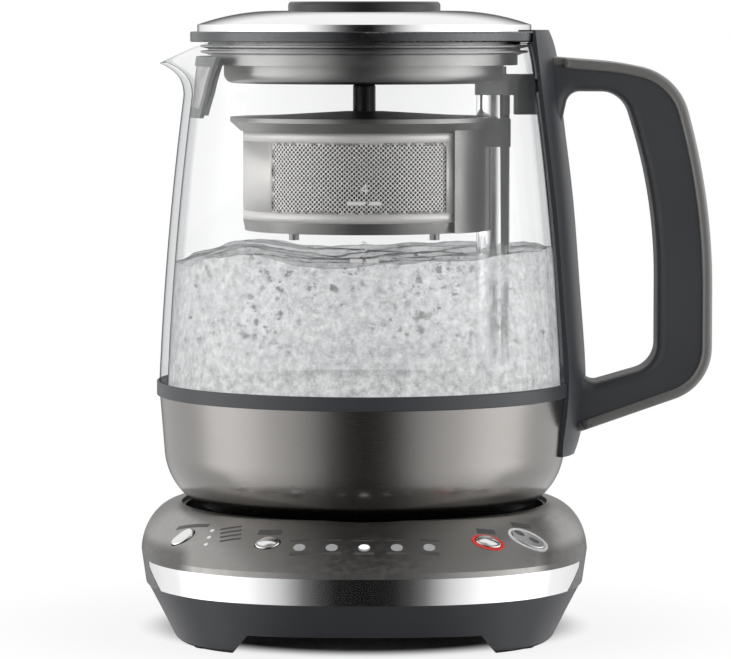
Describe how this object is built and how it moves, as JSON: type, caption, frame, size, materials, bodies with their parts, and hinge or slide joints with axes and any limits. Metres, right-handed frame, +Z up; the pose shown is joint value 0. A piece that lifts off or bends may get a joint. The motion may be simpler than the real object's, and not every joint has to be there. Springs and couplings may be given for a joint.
{
  "type": "automatic tea maker",
  "caption": "Glass tea maker with spout, handle and lift-off lid, a tea basket driven up and down a post, and a heated base with a sloping control panel",
  "frame": {"origin": "on the table plane under the jug's axis", "axes": "+Z up; +X towards the handle; -Y towards the control panel"},
  "size_m": [0.2089, 0.1754, 0.2297],
  "materials": {
    "dark_plastic": "satin slate-grey plastic",
    "black_plastic": "satin black plastic",
    "grey_plastic": "satin mid-grey plastic",
    "pale_plastic": "plain moulded plastic",
    "white_plastic": "glossy white plastic",
    "button_plastic": "satin dark push-button plastic",
    "red_inlay": "translucent red ring, lit from behind",
    "white_inlay": "translucent white ring",
    "light_windows": "small smoked indicator windows",
    "gunmetal": "polished warm gunmetal coating on steel",
    "bright_trim": "bright chrome",
    "plain_steel": "plain stainless steel",
    "cast_aluminium": "plain aluminium plate",
    "contact_brass": "plain brass",
    "circuit_board": "green circuit board laminate",
    "foot_rubber": "soft black rubber",
    "clear_rubber": "translucent pale grey silicone",
    "clear_glass": "clear heat-resistant glass"
  },
  "bodies": {
    "base": {"base_housing": "dark_plastic", "base_top_plate": "gunmetal", "base_trim_strip": "bright_trim", "base_bottom_plate": "dark_plastic", "base_screws": "plain_steel", "base_feet": "foot_rubber", "cord_gland": "black_plastic", "jug_well": "black_plastic", "base_connector": "black_plastic", "base_contacts": "contact_brass", "power_board": "circuit_board", "switch_carrier": "pale_plastic", "button_switches": "black_plastic", "keep_warm_ring": "red_inlay", "start_ring": "white_inlay", "temperature_lights": "light_windows", "strength_lights": "light_windows"},
    "strength_button": {"strength_button": "button_plastic"},
    "tea_kind_button": {"tea_kind_button": "button_plastic"},
    "keep_warm_button": {"keep_warm_button": "button_plastic"},
    "start_button": {"start_button": "button_plastic"},
    "coupler": {"jug_coupler": "black_plastic", "coupler_contacts": "contact_brass"},
    "jug": {"glass_body": "clear_glass", "jug_bowl": "gunmetal", "jug_floor": "plain_steel", "floor_seal": "clear_rubber", "jug_trim_band": "dark_plastic", "jug_bottom_cap": "black_plastic", "cap_screws": "plain_steel", "heat_spreader": "cast_aluminium", "heating_element": "plain_steel", "temperature_sensor": "plain_steel", "jug_board": "circuit_board", "basket_post": "bright_trim", "post_bracket": "grey_plastic", "post_cap": "white_plastic", "screw_bearing": "contact_brass", "lift_motor": "plain_steel", "motor_mount": "plain_steel", "handle_spine": "dark_plastic", "handle_grip": "dark_plastic", "handle_cover": "gunmetal", "spout_filter": "grey_plastic", "spout_filter_mesh": "plain_steel"},
    "basket": {"basket_carriage": "dark_plastic", "carriage_magnets": "plain_steel", "basket_frame": "dark_plastic", "basket_wall": "plain_steel", "basket_floor": "plain_steel", "basket_lid": "black_plastic"},
    "lead_screw": {"lead_screw": "plain_steel", "screw_coupling": "plain_steel"},
    "drive_nut": {"drive_nut": "pale_plastic"},
    "lid": {"lid_plug": "grey_plastic", "lid_seal": "clear_rubber", "lid_rim": "dark_plastic", "lid_plate": "bright_trim", "lid_knob": "black_plastic", "knob_screw": "plain_steel"}
  },
  "joints": [
    {"name": "strength_press", "type": "slide", "parent": "base", "child": "strength_button", "axis": [0.46, 0.3662, -0.8089], "range_m": [0, 0.0008], "stiffness_N_per_m": 400, "springref_m": -0.0004},
    {"name": "tea_kind_press", "type": "slide", "parent": "base", "child": "tea_kind_button", "axis": [0.1335, 0.4452, -0.8854], "range_m": [0, 0.0008], "stiffness_N_per_m": 400, "springref_m": -0.0004},
    {"name": "keep_warm_press", "type": "slide", "parent": "base", "child": "keep_warm_button", "axis": [-0.2052, 0.436, -0.8762], "range_m": [0, 0.0008], "stiffness_N_per_m": 400, "springref_m": -0.0004},
    {"name": "start_press", "type": "slide", "parent": "base", "child": "start_button", "axis": [-0.3595, 0.4016, -0.8423], "range_m": [0, 0.0008], "stiffness_N_per_m": 400, "springref_m": -0.0004},
    {"name": "jug_lift", "type": "slide", "parent": "base", "child": "coupler", "axis": [0, 0, 1], "range_m": [0, 0.08]},
    {"name": "jug_turn", "type": "hinge", "parent": "coupler", "child": "jug", "pos_m": [0, 0, 0.05], "axis": [0, 0, 1], "continuous": true},
    {"name": "basket_drive", "type": "slide", "parent": "jug", "child": "basket", "axis": [0, 0, -1], "range_m": [0, 0.062]},
    {"name": "screw_turn", "type": "hinge", "parent": "jug", "child": "lead_screw", "pos_m": [0.0473, 0, 0.13], "axis": [0, 0, 1], "range_deg": [-1, 2800]},
    {"name": "nut_travel", "type": "slide", "parent": "jug", "child": "drive_nut", "axis": [0, 0, -1], "range_m": [0, 0.0625]},
    {"name": "lid_lift", "type": "slide", "parent": "jug", "child": "lid", "axis": [0, 0, 1], "range_m": [0, 0.06]}
  ],
  "couplings": [
    {"joint": "screw_turn", "follows": "basket_drive", "rad_per_m": 785.4},
    {"joint": "nut_travel", "follows": "basket_drive", "ratio": 1}
  ]
}
